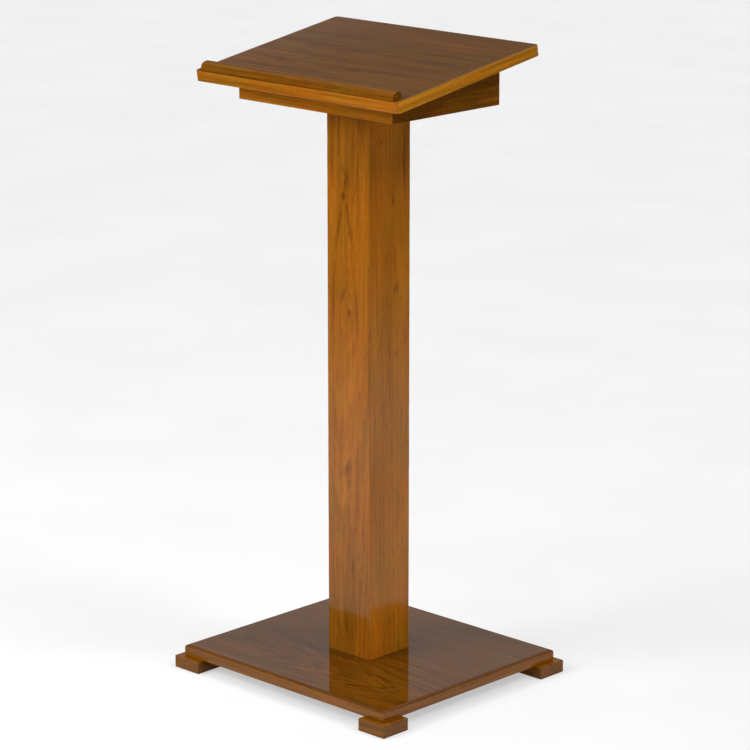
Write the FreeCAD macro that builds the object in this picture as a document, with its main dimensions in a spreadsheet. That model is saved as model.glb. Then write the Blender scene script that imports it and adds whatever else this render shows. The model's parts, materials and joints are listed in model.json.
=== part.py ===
"""Free-standing oak lectern: a square box column on a flat base, with a sloped desk on an apron box.

Millimetres, +Z up, +Y away from the reader, +X to the reader's right. The origin is on the floor
under the middle of the base. Each sub-part is written to parts/LABEL.step.
"""

import FreeCAD, Part
import os

import Sketcher

# Driving dimensions, kept in the document's spreadsheet: name, millimetres or degrees, meaning.
SIZES = (
    ("board_thickness", 18, "veneered boards of the base, the desk and the head plate"),
    ("edging_width", 6, "solid oak lipping round the base and the desk"),
    ("base_width", 457, "base over its lipping, left to right"),
    ("base_depth", 406, "base over its lipping, front to back"),
    ("base_round", 4, "rounding of the base's top edge"),
    ("edge_ease", 1, "sanding of sharp lower edges"),
    ("foot_side", 56, "square foot block"),
    ("foot_height", 20.6, "thickness of a foot block"),
    ("foot_reach", 12, "how far a foot stands out beyond the base"),
    ("foot_ease", 1.5, "rounding of a foot's edges"),
    ("foot_screw_near", 13, "foot screw to the nearer edge of the base"),
    ("foot_screw_far", 31, "foot screw to the other edge of the base"),
    ("foot_recess", 3, "depth of a screw head inside a foot"),
    ("column_side", 94, "square column, outside"),
    ("column_wall", 19, "thickness of the column's boards"),
    ("column_length", 914, "length of the column's boards"),
    ("column_ease", 1.5, "rounding of the column's upright corners"),
    ("block_length", 76, "block glued into each end of the column"),
    ("column_screw_pitch", 32, "square pattern of screws into an end block"),
    ("apron_width", 338, "apron box, outside, left to right"),
    ("apron_depth", 244, "apron box, outside, front to back"),
    ("apron_wall", 19, "thickness of the apron's boards"),
    ("apron_front_height", 34.5, "apron at its front face"),
    ("corner_block_side", 28, "square glue block in each corner of the apron"),
    ("cleat_width", 19, "cleat under each side of the desk"),
    ("cleat_thickness", 16, "cleat, square to the desk"),
    ("cleat_length", 140, "cleat, along the slope"),
    ("cleat_screw_pitch", 50, "spacing of the three screws of a cleat"),
    ("desk_slope", 9.4, "degrees from level"),
    ("desk_width", 446, "desk over its lipping, left to right"),
    ("desk_depth", 326, "desk over its lipping, along the slope"),
    ("desk_overhang", 43.5, "desk in front of the apron, along the slope"),
    ("desk_round", 1, "rounding of the desk's top edge"),
    ("desk_corner", 7, "rounding of the desk's four corners in plan"),
    ("ledge_depth", 19, "book ledge, along the slope"),
    ("ledge_height", 12.5, "book ledge above the desk"),
    ("ledge_inset", 12, "desk's side edge to the end of the ledge"),
    ("ledge_setback", 3, "desk's front edge to the front of the ledge"),
    ("ledge_nose", 10, "rounding of the ledge's front top edge"),
    ("ledge_back_round", 4, "rounding of the ledge's back top edge"),
    ("ledge_screw_pitch", 150, "spacing of the ledge's three screws"),
    ("small_head", 8, "head diameter of the small screws"),
    ("small_shank", 3, "core diameter of the small screws"),
    ("small_length", 28, "length of the small screws"),
    ("large_head", 11, "head diameter of the column's screws"),
    ("large_shank", 4.5, "core diameter of the column's screws"),
    ("large_length", 70, "length of the column's screws"),
    ("hole_clearance", 0.2, "screw holes are wider than the shanks by this"),
    ("pilot_spare", 1, "pilot holes are deeper than the screws reach by this"),
)

# Heights and places that follow from the driving dimensions, as expressions on the sheet.
COLUMN_FOOT = "Sizes.foot_height + Sizes.board_thickness"
HEAD_FOOT = f"{COLUMN_FOOT} + Sizes.column_length"
DESK_BEHIND_APRON_FRONT = "(Sizes.desk_depth / 2 - Sizes.desk_overhang)"
DESK_CENTRE_Y = (
    f"-Sizes.apron_depth / 2 + {DESK_BEHIND_APRON_FRONT} * cos(Sizes.desk_slope * 1 deg)"
)
DESK_CENTRE_Z = (
    f"{HEAD_FOOT} + Sizes.apron_front_height"
    f" + {DESK_BEHIND_APRON_FRONT} * sin(Sizes.desk_slope * 1 deg)"
)
CLEAT_CENTRE_Y = (
    f"(Sizes.apron_depth / 2 / cos(Sizes.desk_slope * 1 deg) - {DESK_BEHIND_APRON_FRONT})"
)
LEDGE_CENTRE_Y = "-Sizes.desk_depth / 2 + Sizes.ledge_setback + Sizes.ledge_depth / 2"

SIDES = ("front", "right", "back", "left")
CORNERS = {
    "front_left": (-1, -1),
    "front_right": (1, -1),
    "back_left": (-1, 1),
    "back_right": (1, 1),
}
TINY = 1e-6

FULL_TURN = 360
# The screws' cross recess, in shares of the head's radius
CROSS_SPAN, CROSS_SLOT, CROSS_DEPTH = 1.1, 0.22, 0.4

doc = FreeCAD.newDocument("Lectern")
sheet = doc.addObject("Spreadsheet::Sheet", "Sizes")
subparts = []


def fill_sheet():
    for row, (name, size, meaning) in enumerate(SIZES, start=1):
        sheet.set(f"A{row}", name)
        sheet.set(f"B{row}", str(size))
        sheet.set(f"C{row}", meaning)
        sheet.setAlias(f"B{row}", name)
    doc.recompute()


def value(expression):
    """The number that an expression on the sheet comes to."""
    result = sheet.evalExpression(expression)
    return float(getattr(result, "Value", result))


def bind(item, **expressions):
    """Bind properties of an object to expressions: Base_z stands for Placement.Base.z."""
    for name, expression in expressions.items():
        path = f"Placement.Base.{name[-1]}" if name.startswith("Base_") else name
        item.setExpression(path, expression)


def lie_on_slope(item):
    """Place an object that is drawn flat, about the middle of the desk's underside."""
    tilt = FreeCAD.Rotation(FreeCAD.Vector(1, 0, 0), value("Sizes.desk_slope"))
    item.Placement = FreeCAD.Placement(FreeCAD.Vector(), tilt)
    item.setExpression("Placement.Rotation.Angle", "Sizes.desk_slope")
    bind(item, Base_y=DESK_CENTRE_Y, Base_z=DESK_CENTRE_Z)


# Sketches


def new_sketch(body, plane, height=None):
    """A sketch on one of the body's origin planes, lifted off it by the height."""
    sketch = body.newObject("Sketcher::SketchObject", f"{body.Name}_sketch")
    support = next(f for f in body.Origin.OriginFeatures if f.Role == plane)
    sketch.AttachmentSupport = [(support, "")]
    sketch.MapMode = "FlatFace"
    if height is not None:
        sketch.setExpression("AttachmentOffset.Base.z", height)
    return sketch


def hold_point(sketch, geometry, vertex, place):
    """Hold a point of the sketch at a place given as two expressions."""
    for kind, expression in zip(("DistanceX", "DistanceY"), place):
        held = Sketcher.Constraint(kind, -1, 1, geometry, vertex, value(expression))
        number = sketch.addConstraint(held)
        sketch.setExpression(f"Constraints[{number}]", expression)


def draw_outline(sketch, corners):
    """A closed outline of straight lines through corners given as pairs of expressions."""
    first = sketch.GeometryCount
    count = len(corners)
    points = [FreeCAD.Vector(value(x), value(y), 0) for x, y in corners]
    for i, start in enumerate(points):
        end = points[(i + 1) % count]
        sketch.addGeometry(Part.LineSegment(start, end), False)
    for i, corner in enumerate(corners):
        after = first + (i + 1) % count
        sketch.addConstraint(Sketcher.Constraint("Coincident", first + i, 2, after, 1))
        hold_point(sketch, first + i, 1, corner)


def draw_circles(sketch, centres, diameter):
    for x, y in centres:
        centre = FreeCAD.Vector(value(x), value(y), 0)
        circle = Part.Circle(centre, FreeCAD.Vector(0, 0, 1), value(diameter) / 2)
        number = sketch.addGeometry(circle, False)
        hold_point(sketch, number, 3, (x, y))
        width = Sketcher.Constraint("Diameter", number, value(diameter))
        sketch.setExpression(f"Constraints[{sketch.addConstraint(width)}]", diameter)


def rectangle(low_x, low_y, high_x, high_y):
    """Corners of a rectangle, anticlockwise."""
    return [(low_x, low_y), (high_x, low_y), (high_x, high_y), (low_x, high_y)]


def centred_rectangle(width, depth):
    half_x, half_y = f"({width}) / 2", f"({depth}) / 2"
    return rectangle(f"-{half_x}", f"-{half_y}", half_x, half_y)


# Features


def new_body(label):
    body = doc.addObject("PartDesign::Body", label)
    body.Label = label
    return body


def pad(body, plane, outlines, length, height=None):
    """Pad one or more outlines; an outline inside another makes a hole."""
    sketch = new_sketch(body, plane, height)
    for corners in outlines:
        draw_outline(sketch, corners)
    feature = body.newObject("PartDesign::Pad", f"{body.Name}_pad")
    feature.Profile = sketch
    bind(feature, Length=length)
    doc.recompute()


def must_shrink(body, before, feature):
    """Stop if a cut has taken nothing away."""
    if body.Shape.Volume > before - TINY:
        raise RuntimeError(f"{feature.Name} cuts nothing from {body.Label}")


def round_edges(body, radius, wanted):
    """Round the edges of the body for which wanted(edge) holds."""
    base = body.Tip
    names = [f"Edge{n}" for n, edge in enumerate(base.Shape.Edges, start=1) if wanted(edge)]
    feature = body.newObject("PartDesign::Fillet", f"{body.Name}_fillet")
    feature.Base = (base, names)
    bind(feature, Radius=radius)
    before = body.Shape.Volume
    doc.recompute()
    must_shrink(body, before, feature)


def drill(body, centres, kind, depth=None, recess=None, downwards_from=None, upwards_from=None):
    """Holes for screws of one kind, small or large.

    Without a depth the hole is countersunk and goes through. With one it is a plain pilot hole.
    A recess sets the countersink that much deeper. Holes go up from the body's own XY plane, or
    from the height upwards_from, or down from the height downwards_from.
    """
    shank = f"Sizes.{kind}_shank + Sizes.hole_clearance"
    sketch = new_sketch(body, "XY_Plane", downwards_from or upwards_from)
    draw_circles(sketch, centres, shank)
    doc.recompute()
    before = body.Shape.Volume
    feature = body.newObject("PartDesign::Hole", f"{body.Name}_hole")
    feature.Profile = sketch
    feature.Reversed = downwards_from is None
    feature.DrillPoint = "Flat"
    feature.setExpression("Diameter", shank)
    if depth is None:
        feature.DepthType = "ThroughAll"
        feature.HoleCutType = "Counterdrill" if recess else "Countersink"
        feature.HoleCutCustomValues = True
        feature.HoleCutCountersinkAngle = 90
        feature.setExpression("HoleCutDiameter", f"Sizes.{kind}_head")
        if recess:
            feature.setExpression("HoleCutDepth", recess)
    else:
        feature.DepthType = "Dimension"
        feature.setExpression("Depth", depth)
    doc.recompute()
    must_shrink(body, before, feature)


def is_outer(edge, box):
    """Whether an edge lies on one of the box's four upright sides."""
    middle = edge.BoundBox.Center
    return max(abs(middle.x) - box.XMax, abs(middle.y) - box.YMax) > -TINY


def is_level_at(edge, height):
    box = edge.BoundBox
    return abs(box.ZMin - height) < TINY and abs(box.ZMax - height) < TINY


def is_upright(edge):
    box = edge.BoundBox
    return box.ZLength > TINY and box.XLength < TINY and box.YLength < TINY


def is_along(edge, y):
    """Whether an edge runs left to right at one place."""
    box = edge.BoundBox
    return abs(box.YMin - y) < TINY and abs(box.YMax - y) < TINY


# Mitred rings: the lippings, the column and the apron are each four boards mitred at the corners


def ring_body(label, width, depth, wall, height):
    """A plain rectangular ring about the origin, standing on the XY plane."""
    body = new_body(label)
    inner = centred_rectangle(f"{width} - 2 * {wall}", f"{depth} - 2 * {wall}")
    pad(body, "XY_Plane", [centred_rectangle(width, depth), inner], height)
    return body


def mitred_boards(prefix, ring, width, depth, wall, height):
    """Cut a ring at its mitres into four boards, each an object of its own."""
    boards = []
    for turn, side in enumerate(SIDES):
        length, across = (width, depth) if turn % 2 == 0 else (depth, width)
        wedge = doc.addObject("Part::Wedge", f"{prefix}_{side}_mitres")
        wedge.Ymin = 0
        wedge.Zmin = 0
        wedge.Z2min = 0
        bind(
            wedge,
            Xmin=f"-{length} / 2",
            Xmax=f"{length} / 2",
            X2min=f"-{length} / 2 + {wall}",
            X2max=f"{length} / 2 - {wall}",
            Ymax=wall,
            Zmax=height,
            Z2max=height,
        )
        quarter = FreeCAD.Rotation(FreeCAD.Vector(0, 0, 1), 90 * turn)
        wedge.Placement = FreeCAD.Placement(FreeCAD.Vector(), quarter)
        outward = quarter.multVec(FreeCAD.Vector(0, -1, 0))
        bind(wedge, Base_x=f"{round(outward.x)} * {across} / 2")
        bind(wedge, Base_y=f"{round(outward.y)} * {across} / 2")
        board = doc.addObject("Part::Common", f"{prefix}_{side}")
        board.Label = f"{prefix}_{side}"
        board.Base = ring
        board.Tool = wedge
        boards.append(board)
    doc.recompute()
    subparts.extend(boards)
    return boards


def edging(prefix, width, depth, top_radius, corner_radius=None):
    """The mitred oak lipping round a board, with a rounded top edge and an eased lower one."""
    height = "Sizes.board_thickness"
    ring = ring_body(f"{prefix}_ring", width, depth, "Sizes.edging_width", height)
    box = ring.Shape.BoundBox
    if corner_radius:
        round_edges(ring, corner_radius, lambda e: is_upright(e) and is_outer(e, box))
    for radius, level in ((top_radius, box.ZMax), ("Sizes.edge_ease", box.ZMin)):
        round_edges(ring, radius, lambda e: is_level_at(e, level) and is_outer(e, box))
    return mitred_boards(prefix, ring, width, depth, "Sizes.edging_width", height)


# Screws


def screw_model(kind):
    """A countersunk screw with a cross recess, head at the origin and tip along +Z."""
    head, shank = f"Sizes.{kind}_head / 2", f"Sizes.{kind}_shank / 2"
    length = f"Sizes.{kind}_length"
    body = new_body(f"{kind}_screw")
    half_section = [
        ("0", "0"),
        (head, "0"),
        (shank, f"{head} - {shank}"),
        (shank, f"{length} - 2 * {shank}"),
        ("0", length),
    ]
    sketch = new_sketch(body, "XZ_Plane")
    draw_outline(sketch, half_section)
    turned = body.newObject("PartDesign::Revolution", f"{kind}_turned")
    turned.Profile = sketch
    turned.ReferenceAxis = (sketch, ["V_Axis"])
    turned.Angle = FULL_TURN
    doc.recompute()
    slot = new_sketch(body, "XY_Plane")
    draw_outline(slot, centred_rectangle(f"{head} * {CROSS_SPAN}", f"{head} * {CROSS_SLOT}"))
    before = body.Shape.Volume
    pocket = body.newObject("PartDesign::Pocket", f"{kind}_slot")
    pocket.Profile = slot
    pocket.Reversed = True
    bind(pocket, Length=f"{head} * {CROSS_DEPTH}")
    doc.recompute()
    must_shrink(body, before, pocket)
    crossed = body.newObject("PartDesign::PolarPattern", f"{kind}_cross")
    crossed.Originals = [pocket]
    crossed.Axis = (slot, ["N_Axis"])
    crossed.Angle = FULL_TURN / 4
    crossed.Occurrences = 2
    body.Tip = crossed
    doc.recompute()
    return body


def screw_group(label, model, centres, height, pointing_up=True):
    """One node of identical screws, with their heads at the height and at the given centres."""
    turn = FreeCAD.Rotation(FreeCAD.Vector(1, 0, 0), 0 if pointing_up else 180)
    copies = []
    for x, y in centres:
        place = FreeCAD.Placement(FreeCAD.Vector(value(x), value(y), value(height)), turn)
        copy = model.Shape.copy()
        copy.Placement = place
        copies.append(copy)
    group = doc.addObject("Part::Feature", label)
    group.Label = label
    group.Shape = Part.makeCompound(copies)
    subparts.append(group)
    return group


# Positions shared by the pieces that a screw joins


def square_pattern(pitch):
    half = f"{pitch} / 2"
    return [(f"{sx} * {half}", f"{sy} * {half}") for sx in (-1, 1) for sy in (-1, 1)]


def foot_screw_centres(sign_x, sign_y):
    near, far = "Sizes.foot_screw_near", "Sizes.foot_screw_far"
    return [
        (
            f"{sign_x} * (Sizes.base_width / 2 - {from_side})",
            f"{sign_y} * (Sizes.base_depth / 2 - {from_end})",
        )
        for from_side, from_end in ((near, far), (far, near))
    ]


def corner_block_centre(sign_x, sign_y):
    inset = "(Sizes.apron_wall + Sizes.corner_block_side / 2)"
    return (
        f"{sign_x} * (Sizes.apron_width / 2 - {inset})",
        f"{sign_y} * (Sizes.apron_depth / 2 - {inset})",
    )


def cleat_screw_centres(sign_x):
    across = f"{sign_x} * (Sizes.apron_width / 2 - Sizes.apron_wall - Sizes.cleat_width / 2)"
    pitch = "Sizes.cleat_screw_pitch"
    return [(across, f"{CLEAT_CENTRE_Y} + {step} * {pitch}") for step in (-1, 0, 1)]


COLUMN_SCREWS = square_pattern("Sizes.column_screw_pitch")
FOOT_SCREWS = [centre for signs in CORNERS.values() for centre in foot_screw_centres(*signs)]
HEAD_SCREWS = [corner_block_centre(*signs) for signs in CORNERS.values()]
DESK_SCREWS = [centre for sign in (-1, 1) for centre in cleat_screw_centres(sign)]
LEDGE_SCREWS = [(f"{step} * Sizes.ledge_screw_pitch", LEDGE_CENTRE_Y) for step in (-1, 0, 1)]


# The pieces


def flat_panel(label, width, depth):
    """A veneered board, about the origin and on the XY plane."""
    panel = new_body(label)
    pad(panel, "XY_Plane", [centred_rectangle(width, depth)], "Sizes.board_thickness")
    subparts.append(panel)
    return panel


def make_base():
    inside = "2 * Sizes.edging_width"
    panel = flat_panel(
        "base_panel", f"Sizes.base_width - {inside}", f"Sizes.base_depth - {inside}"
    )
    pilot = (
        "Sizes.foot_recess + Sizes.small_length - Sizes.foot_height + Sizes.pilot_spare"
    )
    drill(panel, COLUMN_SCREWS, "large")
    drill(panel, FOOT_SCREWS, "small", depth=pilot)
    boards = edging("base_edge", "Sizes.base_width", "Sizes.base_depth", "Sizes.base_round")
    for piece in [panel, *boards]:
        bind(piece, Base_z="Sizes.foot_height")


def make_foot(label, sign_x, sign_y):
    outer_x = f"{sign_x} * (Sizes.base_width / 2 + Sizes.foot_reach)"
    outer_y = f"{sign_y} * (Sizes.base_depth / 2 + Sizes.foot_reach)"
    inner_x = f"{outer_x} - {sign_x} * Sizes.foot_side"
    inner_y = f"{outer_y} - {sign_y} * Sizes.foot_side"
    foot = new_body(label)
    pad(foot, "XY_Plane", [rectangle(inner_x, inner_y, outer_x, outer_y)], "Sizes.foot_height")
    round_edges(foot, "Sizes.foot_ease", lambda edge: True)
    drill(foot, foot_screw_centres(sign_x, sign_y), "small", recess="Sizes.foot_recess")
    subparts.append(foot)


def make_end_block(label, foot, screwed_face=None):
    """The block glued into one end of the column; its screws come up unless a face is given."""
    side = "Sizes.column_side - 2 * Sizes.column_wall"
    block = new_body(label)
    pad(block, "XY_Plane", [centred_rectangle(side, side)], "Sizes.block_length")
    pilot = "Sizes.large_length - Sizes.board_thickness + Sizes.pilot_spare"
    drill(block, COLUMN_SCREWS, "large", depth=pilot, downwards_from=screwed_face)
    bind(block, Base_z=foot)
    subparts.append(block)


def make_column():
    side, wall, length = "Sizes.column_side", "Sizes.column_wall", "Sizes.column_length"
    ring = ring_body("column_ring", side, side, wall, length)
    box = ring.Shape.BoundBox
    round_edges(ring, "Sizes.column_ease", lambda e: is_upright(e) and is_outer(e, box))
    for board in mitred_boards("column", ring, side, side, wall, length):
        bind(board, Base_z=COLUMN_FOOT)
    make_end_block("column_bottom_block", COLUMN_FOOT)
    make_end_block(
        "column_top_block", f"{HEAD_FOOT} - Sizes.block_length", screwed_face="Sizes.block_length"
    )


def apron_height_at(y):
    """Height of the desk's underside above the foot of the apron."""
    behind_front = f"({y} + Sizes.apron_depth / 2)"
    return f"(Sizes.apron_front_height + {behind_front} * tan(Sizes.desk_slope * 1 deg))"


def make_apron():
    width, depth, wall = "Sizes.apron_width", "Sizes.apron_depth", "Sizes.apron_wall"
    front, back = f"-{depth} / 2", f"{depth} / 2"
    tall = apron_height_at(back)
    ring = ring_body("apron_ring", width, depth, wall, tall)
    above = new_sketch(ring, "YZ_Plane")
    draw_outline(above, [(front, apron_height_at(front)), (back, tall), (front, tall)])
    before = ring.Shape.Volume
    slope = ring.newObject("PartDesign::Pocket", "apron_slope")
    slope.Profile = above
    slope.Type = "ThroughAll"
    slope.SideType = "Symmetric"
    doc.recompute()
    must_shrink(ring, before, slope)
    for board in mitred_boards("apron", ring, width, depth, wall, tall):
        bind(board, Base_z=HEAD_FOOT)


def make_head_plate():
    inside = "2 * Sizes.apron_wall"
    plate = flat_panel(
        "head_plate", f"Sizes.apron_width - {inside}", f"Sizes.apron_depth - {inside}"
    )
    drill(plate, COLUMN_SCREWS, "large", downwards_from="Sizes.board_thickness")
    drill(plate, HEAD_SCREWS, "small")
    bind(plate, Base_z=HEAD_FOOT)


def make_corner_block(label, sign_x, sign_y):
    """A glue block standing on the head plate, with its top cut to the slope of the desk."""
    side = "Sizes.corner_block_side"
    centre_x, centre_y = corner_block_centre(sign_x, sign_y)
    low_y, high_y = f"{centre_y} - {side} / 2", f"{centre_y} + {side} / 2"
    foot = "Sizes.board_thickness"
    section = [
        (low_y, foot),
        (high_y, foot),
        (high_y, apron_height_at(high_y)),
        (low_y, apron_height_at(low_y)),
    ]
    block = new_body(label)
    pad(block, "YZ_Plane", [section], side, height=f"{centre_x} - {side} / 2")
    pilot = "Sizes.small_length - Sizes.board_thickness + Sizes.pilot_spare"
    drill(block, [(centre_x, centre_y)], "small", depth=pilot, upwards_from=foot)
    bind(block, Base_z=HEAD_FOOT)
    subparts.append(block)


def make_cleat(label, sign_x):
    """A cleat between the corner blocks, glued to a side board and screwed up into the desk."""
    centres = cleat_screw_centres(sign_x)
    centre_x = centres[0][0]
    underside = "-Sizes.cleat_thickness"
    outline = rectangle(
        f"{centre_x} - Sizes.cleat_width / 2",
        f"{CLEAT_CENTRE_Y} - Sizes.cleat_length / 2",
        f"{centre_x} + Sizes.cleat_width / 2",
        f"{CLEAT_CENTRE_Y} + Sizes.cleat_length / 2",
    )
    cleat = new_body(label)
    pad(cleat, "XY_Plane", [outline], "Sizes.cleat_thickness", height=underside)
    drill(cleat, centres, "small", upwards_from=underside)
    lie_on_slope(cleat)
    subparts.append(cleat)


def make_desk():
    inside = "2 * Sizes.edging_width"
    panel = flat_panel(
        "desk_panel", f"Sizes.desk_width - {inside}", f"Sizes.desk_depth - {inside}"
    )
    pilot = "Sizes.small_length - Sizes.cleat_thickness + Sizes.pilot_spare"
    drill(panel, LEDGE_SCREWS, "small")
    drill(panel, DESK_SCREWS, "small", depth=pilot)
    boards = edging(
        "desk_edge",
        "Sizes.desk_width",
        "Sizes.desk_depth",
        "Sizes.desk_round",
        "Sizes.desk_corner",
    )
    for piece in [panel, *boards]:
        lie_on_slope(piece)


def make_ledge():
    foot = "Sizes.board_thickness"
    half_length = "(Sizes.desk_width / 2 - Sizes.ledge_inset)"
    half_depth = "Sizes.ledge_depth / 2"
    outline = rectangle(
        f"-{half_length}",
        f"{LEDGE_CENTRE_Y} - {half_depth}",
        half_length,
        f"{LEDGE_CENTRE_Y} + {half_depth}",
    )
    ledge = new_body("book_ledge")
    pad(ledge, "XY_Plane", [outline], "Sizes.ledge_height", height=foot)
    box = ledge.Shape.BoundBox
    for radius, face in (("Sizes.ledge_nose", box.YMin), ("Sizes.ledge_back_round", box.YMax)):
        round_edges(ledge, radius, lambda e: is_level_at(e, box.ZMax) and is_along(e, face))
    pilot = "Sizes.small_length - Sizes.board_thickness + Sizes.pilot_spare"
    drill(ledge, LEDGE_SCREWS, "small", depth=pilot, upwards_from=foot)
    lie_on_slope(ledge)
    subparts.append(ledge)


def make_screws():
    small, large = screw_model("small"), screw_model("large")
    screw_group("foot_screws", small, FOOT_SCREWS, "Sizes.foot_recess")
    screw_group("base_screws", large, COLUMN_SCREWS, "Sizes.foot_height")
    plate_top = f"{HEAD_FOOT} + Sizes.board_thickness"
    screw_group("column_top_screws", large, COLUMN_SCREWS, plate_top, pointing_up=False)
    screw_group("head_screws", small, HEAD_SCREWS, HEAD_FOOT)
    lie_on_slope(screw_group("desk_screws", small, DESK_SCREWS, "-Sizes.cleat_thickness"))
    lie_on_slope(screw_group("ledge_screws", small, LEDGE_SCREWS, "0"))


def check_document():
    for item in doc.Objects:
        if "Invalid" in item.State or "Error" in item.State:
            raise RuntimeError(f"{item.Label} failed: {item.State}")
    for piece in subparts:
        if piece.Shape.isNull() or not piece.Shape.isValid():
            raise RuntimeError(f"{piece.Label} has no valid shape")


def write_subparts():
    os.makedirs("parts", exist_ok=True)
    for piece in subparts:
        piece.Shape.exportStep(f"parts/{piece.Label}.step")
        box = piece.Shape.BoundBox
        print(f"{piece.Label}: {len(piece.Shape.Solids)} solid, top at {box.ZMax:.1f}")


fill_sheet()
make_base()
for name, signs in CORNERS.items():
    make_foot(f"foot_{name}", *signs)
make_column()
make_head_plate()
make_apron()
for name, signs in CORNERS.items():
    make_corner_block(f"corner_block_{name}", *signs)
make_cleat("cleat_left", -1)
make_cleat("cleat_right", 1)
make_desk()
make_ledge()
make_screws()
doc.recompute()
check_document()
write_subparts()
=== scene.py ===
"""The lectern's looks: oak boards, lippings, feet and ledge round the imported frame.

Lengths are in metres. Every piece keeps its origin at the row's origin, so a material's object
coordinates are places in the row frame.
"""

import json
import math

import bmesh
import bpy
from mathutils import Matrix, Vector, noise


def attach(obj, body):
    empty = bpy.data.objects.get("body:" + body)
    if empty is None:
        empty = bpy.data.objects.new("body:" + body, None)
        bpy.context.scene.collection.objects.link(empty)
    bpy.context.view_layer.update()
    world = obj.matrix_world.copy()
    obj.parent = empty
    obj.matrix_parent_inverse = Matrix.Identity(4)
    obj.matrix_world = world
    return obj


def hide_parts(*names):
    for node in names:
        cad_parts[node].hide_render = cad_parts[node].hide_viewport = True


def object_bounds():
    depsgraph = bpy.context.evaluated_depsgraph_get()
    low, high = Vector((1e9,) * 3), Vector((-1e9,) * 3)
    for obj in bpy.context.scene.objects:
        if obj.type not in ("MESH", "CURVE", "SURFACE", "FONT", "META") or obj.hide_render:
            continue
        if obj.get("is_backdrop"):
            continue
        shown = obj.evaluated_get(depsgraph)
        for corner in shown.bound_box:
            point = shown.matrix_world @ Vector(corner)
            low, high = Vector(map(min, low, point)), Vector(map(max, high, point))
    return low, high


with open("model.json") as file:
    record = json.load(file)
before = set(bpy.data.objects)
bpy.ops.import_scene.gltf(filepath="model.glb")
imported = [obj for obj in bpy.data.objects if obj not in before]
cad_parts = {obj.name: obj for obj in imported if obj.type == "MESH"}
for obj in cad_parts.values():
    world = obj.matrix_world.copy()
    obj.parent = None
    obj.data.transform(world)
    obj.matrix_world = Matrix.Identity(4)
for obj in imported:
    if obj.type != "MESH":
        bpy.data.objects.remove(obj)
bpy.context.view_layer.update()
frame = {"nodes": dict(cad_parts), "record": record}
nodes = frame["nodes"]

MM = 0.001
BOARD_WALL = 19 * MM  # the boards of the column and of the apron
DESK_CORNER = 7 * MM  # rounding of the desk's corners in plan
WANDER_PITCH = 31.0  # how fast the small unevenness changes, per metre
SANDED_SWING = 0.35  # how far the rounding of a hand-sanded edge strays, as a share
ROUTED_SWING = 0.10  # the same for a routed edge
STREAK_SPREAD = 1.3  # a streak fades out this much wider than its half width
SIDES = ("front", "right", "back", "left")
CORNERS = ("front_left", "front_right", "back_left", "back_right")
UPRIGHT = Matrix.Identity(4)


# Where things are


def local_box(names, to_world=UPRIGHT):
    """The lowest and highest corner of some CAD nodes, in a frame of its own."""
    to_local = to_world.inverted()
    points = [to_local @ v.co for name in names for v in nodes[name].data.vertices]
    low = Vector(min(p[i] for p in points) for i in range(3))
    high = Vector(max(p[i] for p in points) for i in range(3))
    return low, high


def desk_matrix():
    """The desk's own frame: level with its top face, and centred on it."""
    face = next(m for m in frame["record"]["mounts"] if m["name"] == "reading_face")
    normal = Vector(face["axis"])
    tilt = math.atan2(-normal.y, normal.z)
    return Matrix.Translation(face["pos_m"]) @ Matrix.Rotation(tilt, 4, "X")


DESK = desk_matrix()


def wander(place, line):
    """A smooth uneven number from -1 to 1 along a line of the object, the same in each run."""
    return noise.noise(Vector((place * WANDER_PITCH, line * 7.31, 4.7)))


# Meshes


def loft(name, rings, wear=None, cap=None):
    """A closed solid through rings of points, each as long as the next, with flat ends.

    wear and cap give each place in a ring its share of worn edge and of darker top, which the
    materials read.
    """
    sharp = math.radians(32)
    even, uneven, pitch = 0.65, 0.55, 0.013
    shape = bmesh.new()
    worn = shape.verts.layers.float.new("wear")
    capped = shape.verts.layers.float.new("cap")
    rows = []
    for n, ring in enumerate(rings):
        row = [shape.verts.new(p) for p in ring]
        for i, vert in enumerate(row):
            if wear:
                patchy = wander(n * pitch, i * 0.1 + len(name))
                vert[worn] = wear[i] * (even + uneven * patchy)
            if cap:
                vert[capped] = cap[i]
        rows.append(row)
    count = len(rows[0])
    for one, other in zip(rows, rows[1:]):
        for i in range(count):
            j = (i + 1) % count
            shape.faces.new((one[i], one[j], other[j], other[i]))
    shape.faces.new(list(reversed(rows[0])))
    shape.faces.new(rows[-1])
    bmesh.ops.recalc_face_normals(shape, faces=shape.faces)
    for face in shape.faces:
        face.smooth = True
    for edge in shape.edges:
        if edge.calc_face_angle(0.0) > sharp:
            edge.smooth = False
    mesh = bpy.data.meshes.new(name)
    shape.to_mesh(mesh)
    shape.free()
    piece = bpy.data.objects.new(name, mesh)
    bpy.context.scene.collection.objects.link(piece)
    normals = piece.modifiers.new("even shading", "WEIGHTED_NORMAL")
    normals.keep_sharp = True
    normals.weight = 100
    return piece


def stand_for(piece, node):
    """The piece takes the place of a CAD node."""
    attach(piece, "root")
    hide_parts(node)


def arc(centre, radius, start, end, steps):
    """Points of an arc, with angles in degrees."""
    turns = [math.radians(start + (end - start) * k / steps) for k in range(steps + 1)]
    return [(centre[0] + radius * math.cos(a), centre[1] + radius * math.sin(a)) for a in turns]


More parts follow.
